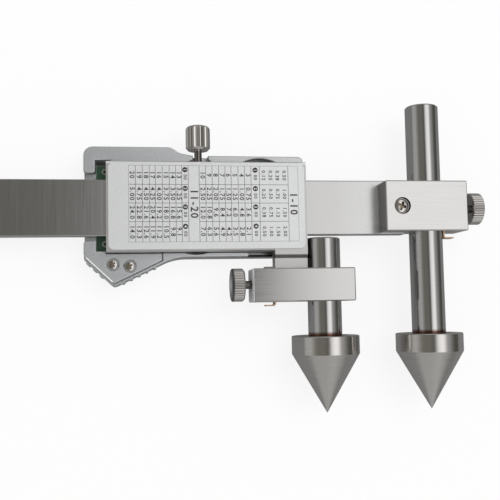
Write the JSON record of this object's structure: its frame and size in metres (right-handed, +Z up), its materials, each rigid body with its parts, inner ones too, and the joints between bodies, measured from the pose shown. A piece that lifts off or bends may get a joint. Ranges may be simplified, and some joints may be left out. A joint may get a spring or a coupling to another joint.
{
  "type": "centre distance caliper",
  "caption": "Digital caliper for hole centre distances: a slider on a flat beam, and two cones on round rods held in clamp blocks.",
  "frame": {"origin": "middle of the caliper's box, on the surface that its display side lies on", "axes": "+X along the beam towards the fixed block, +Y away from the cone points, +Z up, out of the plain back"},
  "size_m": [0.2352, 0.089, 0.0238],
  "materials": {
    "beam_steel": "satin, ground along its length",
    "scale_laminate": "glass-fibre laminate with copper pattern",
    "scale_film": "printed grey film with plain numbers",
    "block_steel": "fine brushed",
    "frame_steel": "satin",
    "rod_steel": "ground and polished",
    "cone_steel": "fine turned",
    "knob_nickel": "nickel plated, straight knurl",
    "copper": "tarnished copper",
    "gib_bronze": "satin",
    "screw_steel": "bright plated",
    "dark_screw": "blackened",
    "plate_aluminium": "bead blasted, printed with a plain table",
    "housing_alloy": "satin silver",
    "board_green": "solder mask",
    "switch_black": "moulded",
    "display_glass": "display switched off",
    "window_clear": "clear acrylic",
    "connector_rubber": "soft",
    "face_grey": "fine texture",
    "button_grey": "moulded",
    "cell_steel": "bright",
    "contact_gold": "plated",
    "cover_black": "fine texture"
  },
  "bodies": {
    "beam_assembly": {"beam": "beam_steel", "capacitive_scale": "scale_laminate", "scale_film": "scale_film", "end_stop": "block_steel", "end_stop_screws": "screw_steel", "fixed_block": "block_steel", "fixed_block_screw": "screw_steel", "fixed_clamp_leaf": "copper"},
    "fixed_cone_rod": {"fixed_rod": "rod_steel", "fixed_cone": "cone_steel"},
    "fixed_clamp": {"fixed_clamp_screw": "knob_nickel"},
    "slider": {"slider_frame": "frame_steel", "back_plate": "plate_aluminium", "gib_strip": "gib_bronze", "gib_screws": "dark_screw", "front_housing": "housing_alloy", "thumb_rest_cover": "housing_alloy", "thumb_rest_screws": "screw_steel", "housing_screws": "dark_screw", "circuit_board": "board_green", "button_switches": "switch_black", "lcd_panel": "display_glass", "lcd_window": "window_clear", "lcd_connectors": "connector_rubber", "face_plate": "face_grey", "battery": "cell_steel", "battery_contact_positive": "contact_gold", "battery_contact_negative": "contact_gold"},
    "lock": {"lock_screw": "knob_nickel"},
    "power_key": {"power_button": "button_grey"},
    "zero_key": {"zero_button": "button_grey"},
    "unit_key": {"unit_button": "button_grey"},
    "battery_door": {"battery_cover": "cover_black"},
    "slider_jaw": {"slider_block": "block_steel", "slider_clamp_leaf": "copper"},
    "slider_clamp": {"slider_clamp_screw": "knob_nickel"},
    "slider_cone_rod": {"slider_rod": "rod_steel", "slider_cone": "cone_steel"}
  },
  "joints": [
    {"name": "slider_slide", "type": "slide", "parent": "beam_assembly", "child": "slider", "axis": [1, 0, 0], "range_m": [-0.11885, 0.01115]},
    {"name": "fixed_rod_slide", "type": "slide", "parent": "beam_assembly", "child": "fixed_cone_rod", "axis": [0, 1, 0], "range_m": [-0.0229, 0.027]},
    {"name": "fixed_clamp_turn", "type": "hinge", "parent": "beam_assembly", "child": "fixed_clamp", "pos_m": [0.1146, 0.01388, 0.01415], "axis": [1, 0, 0], "range_deg": [0, 360]},
    {"name": "lock_turn", "type": "hinge", "parent": "slider", "child": "lock", "pos_m": [0.0338, 0.03458, 0.0118], "axis": [0, 1, 0], "range_deg": [-90, 360]},
    {"name": "power_press", "type": "slide", "parent": "slider", "child": "power_key", "axis": [0, 0, 1], "range_m": [0, 0.0004], "stiffness_N_per_m": 1500, "springref_m": -0.0003},
    {"name": "zero_press", "type": "slide", "parent": "slider", "child": "zero_key", "axis": [0, 0, 1], "range_m": [0, 0.0004], "stiffness_N_per_m": 1500, "springref_m": -0.0003},
    {"name": "unit_press", "type": "slide", "parent": "slider", "child": "unit_key", "axis": [0, 0, 1], "range_m": [0, 0.0004], "stiffness_N_per_m": 1500, "springref_m": -0.0003},
    {"name": "battery_cover_slide", "type": "slide", "parent": "slider", "child": "battery_door", "axis": [1, 0, 0], "range_m": [0, 0.0236]},
    {"name": "slider_block_slide", "type": "slide", "parent": "slider", "child": "slider_jaw", "axis": [0, 1, 0], "range_m": [-0.003, 0.0004]},
    {"name": "slider_clamp_turn", "type": "hinge", "parent": "slider_jaw", "child": "slider_clamp", "pos_m": [0.0461, -0.0078, 0.01415], "axis": [-1, 0, 0], "range_deg": [0, 360]},
    {"name": "slider_rod_slide", "type": "slide", "parent": "slider_jaw", "child": "slider_cone_rod", "axis": [0, 1, 0], "range_m": [-0.0085, 0.0004]}
  ]
}
